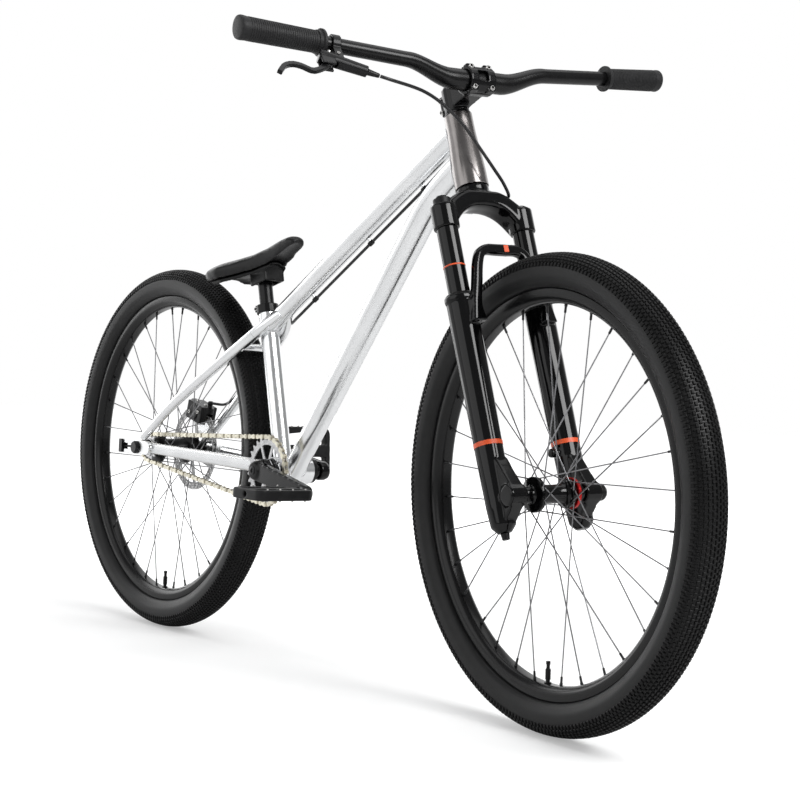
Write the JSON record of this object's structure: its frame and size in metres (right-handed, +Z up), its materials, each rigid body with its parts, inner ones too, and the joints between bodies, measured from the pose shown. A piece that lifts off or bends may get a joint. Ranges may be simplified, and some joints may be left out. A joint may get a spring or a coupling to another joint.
{
  "type": "dirt jump bicycle",
  "caption": "Hardtail bicycle with suspension fork, steering head, chain drive, disc brake, turning pedals, sliding seatpost and tilting saddle.",
  "frame": {"origin": "on the ground straight under the middle of the rear axle, in the bike's middle plane", "axes": "+X forward along the bike, +Y to the rider's left, +Z up from the ground"},
  "size_m": [1.7392, 0.7556, 1.004],
  "materials": {
    "black_anodised": "satin",
    "black_paint": "gloss",
    "black_plastic": "satin",
    "bronze_alloy": "satin",
    "chain_steel": "polished",
    "grip_rubber": "matte",
    "hose_plastic": "gloss",
    "pad_lining": "matte",
    "raw_alloy": "brushed",
    "saddle_skin": "matte",
    "steel": "satin",
    "tyre_rubber": "matte"
  },
  "bodies": {
    "frame": {"head_tube": "bronze_alloy", "headset_bearing_upper": "steel", "headset_bearing_lower": "steel", "top_tube": "raw_alloy", "down_tube": "raw_alloy", "seat_tube": "raw_alloy", "bottom_bracket_shell": "raw_alloy", "chainstay_right": "raw_alloy", "chainstay_left": "raw_alloy", "seatstay_right": "raw_alloy", "seatstay_left": "raw_alloy", "dropout_right": "raw_alloy", "dropout_left": "raw_alloy", "chain_tensioner_right": "black_anodised", "chain_tensioner_left": "black_anodised", "bottom_bracket_cup_right": "black_anodised", "bottom_bracket_cup_left": "black_anodised", "seat_clamp": "black_anodised", "rear_axle": "steel", "axle_bolt_right": "steel", "axle_bolt_left": "steel", "brake_caliper": "black_anodised", "chain": "chain_steel", "brake_hose": "hose_plastic"},
    "steering": {"fork_crown": "black_paint", "stanchion_right": "raw_alloy", "stanchion_left": "raw_alloy", "headset_top_cover": "black_anodised", "stem": "black_paint", "stem_faceplate": "black_paint", "stem_top_cap": "black_anodised", "handlebar": "black_anodised", "grip_right": "grip_rubber", "grip_left": "grip_rubber", "lever_body": "black_anodised"},
    "compression_knob": {"compression_knob": "black_anodised"},
    "lever_blade": {"lever_blade": "black_anodised"},
    "fork_lowers": {"fork_lowers": "black_paint", "front_axle": "steel"},
    "rebound_knob": {"rebound_knob": "black_anodised"},
    "front_wheel": {"front_hub_and_spokes": "black_anodised", "front_rim": "black_anodised", "front_tyre": "tyre_rubber", "front_valve": "black_plastic"},
    "rear_wheel": {"rear_hub_and_spokes": "black_anodised", "rear_rim": "black_anodised", "rear_tyre": "tyre_rubber", "rear_valve": "black_plastic", "brake_rotor": "steel"},
    "rear_driver": {"rear_cog": "steel"},
    "crank": {"chainring": "steel", "crank_arm_right": "black_paint", "crank_arm_left": "black_paint"},
    "pedal_right": {"pedal_right": "black_anodised"},
    "pedal_left": {"pedal_left": "black_anodised"},
    "brake_pad_outer": {"brake_pad_outer": "pad_lining"},
    "brake_pad_inner": {"brake_pad_inner": "pad_lining"},
    "seatpost": {"seatpost": "black_anodised"},
    "saddle": {"saddle_base": "black_plastic", "saddle_cover": "saddle_skin"}
  },
  "joints": [
    {"name": "steering", "type": "hinge", "parent": "frame", "child": "steering", "pos_m": [1.02618, 0, 0.3214], "axis": [-0.3502, 0, 0.9367], "range_deg": [-69.6, 80.4], "deforming": ["brake_hose"]},
    {"name": "compression_knob_turn", "type": "hinge", "parent": "steering", "child": "compression_knob", "pos_m": [0.87273, -0.06883, 0.74765], "axis": [-0.3502, 0, 0.9367], "range_deg": [0, 90]},
    {"name": "brake_lever", "type": "hinge", "parent": "steering", "child": "lever_blade", "pos_m": [0.85619, -0.26992, 0.91894], "axis": [-0.6935, 0.1212, -0.7102], "range_deg": [0, 20], "stiffness_Nm_per_rad": 1.2, "springref_deg": -3.44},
    {"name": "fork_travel", "type": "slide", "parent": "steering", "child": "fork_lowers", "axis": [-0.3502, 0, 0.9367], "range_m": [0, 0.095], "stiffness_N_per_m": 8000, "springref_m": -0.02},
    {"name": "rebound_knob_turn", "type": "hinge", "parent": "fork_lowers", "child": "rebound_knob", "pos_m": [1.04888, -0.06883, 0.27651], "axis": [-0.3502, 0, 0.9367], "range_deg": [0, 270]},
    {"name": "front_wheel_spin", "type": "hinge", "parent": "fork_lowers", "child": "front_wheel", "pos_m": [1.06851, -0.00427, 0.33723], "axis": [0.0881, 0.9956, 0.033], "continuous": true},
    {"name": "rear_wheel_spin", "type": "hinge", "parent": "frame", "child": "rear_wheel", "pos_m": [0, 0, 0.336], "axis": [0, 1, 0], "continuous": true},
    {"name": "crank_spin", "type": "hinge", "parent": "frame", "child": "crank", "pos_m": [0.40485, 0, 0.3215], "axis": [0, 1, 0], "continuous": true, "deforming": ["chain"]},
    {"name": "rear_cog_spin", "type": "hinge", "parent": "frame", "child": "rear_driver", "pos_m": [0, 0, 0.336], "axis": [0, 1, 0], "continuous": true},
    {"name": "pedal_right_spin", "type": "hinge", "parent": "crank", "child": "pedal_right", "pos_m": [0.56795, -0.1395, 0.29654], "axis": [0, 1, 0], "continuous": true},
    {"name": "pedal_left_spin", "type": "hinge", "parent": "crank", "child": "pedal_left", "pos_m": [0.24175, 0.1395, 0.34646], "axis": [0, 1, 0], "continuous": true},
    {"name": "pad_outer_squeeze", "type": "slide", "parent": "frame", "child": "brake_pad_outer", "axis": [0, -1, 0], "range_m": [0, 0.0003]},
    {"name": "pad_inner_squeeze", "type": "slide", "parent": "frame", "child": "brake_pad_inner", "axis": [0, 1, 0], "range_m": [0, 0.0003]},
    {"name": "seatpost_slide", "type": "slide", "parent": "frame", "child": "seatpost", "axis": [-0.2571, 0, 0.9664], "range_m": [-0.015, 0.05]},
    {"name": "saddle_tilt", "type": "hinge", "parent": "seatpost", "child": "saddle", "pos_m": [0.29791, 0, 0.652], "axis": [0, 1, 0], "range_deg": [-4, 14]}
  ],
  "couplings": [
    {"joint": "rear_cog_spin", "follows": "crank_spin", "ratio": 2.3333},
    {"joint": "pad_outer_squeeze", "follows": "brake_lever", "m_per_rad": 0.00085943},
    {"joint": "pad_inner_squeeze", "follows": "brake_lever", "m_per_rad": 0.00085943}
  ]
}
